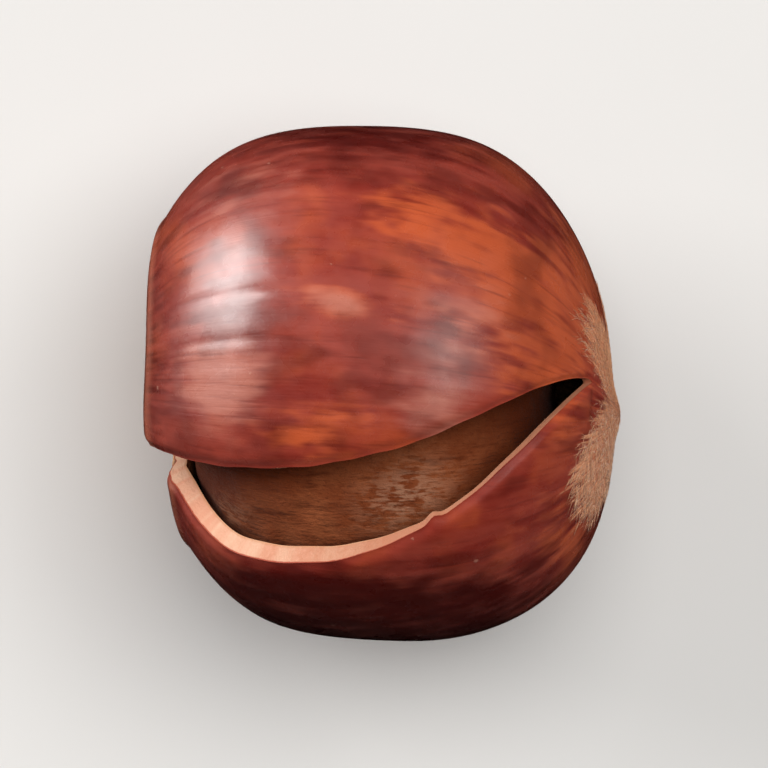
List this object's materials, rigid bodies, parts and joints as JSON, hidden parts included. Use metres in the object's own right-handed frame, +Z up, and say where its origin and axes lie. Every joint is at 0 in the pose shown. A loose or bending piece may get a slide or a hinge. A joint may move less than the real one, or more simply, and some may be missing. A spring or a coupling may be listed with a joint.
{
  "type": "roasted chestnut",
  "caption": "Roasted chestnut lying on its side, with a glossy brown shell that has split open along one side and shows the brown-skinned kernel inside.",
  "frame": {"origin": "middle of the flat spot on the nut's underside, on the surface it rests on", "axes": "+Z up, +X from the base scar to the tip, +Y across the nut away from the split"},
  "size_m": [0.0275, 0.0301, 0.0249],
  "materials": {
    "shell": "smooth glossy hard shell, reddish brown with fine stripes, dull tan at the base scar and the tip",
    "kernel": "dull brown papery skin with shallow furrows"
  },
  "bodies": {
    "root": {"shell": "shell", "kernel": "kernel"}
  },
  "joints": []
}
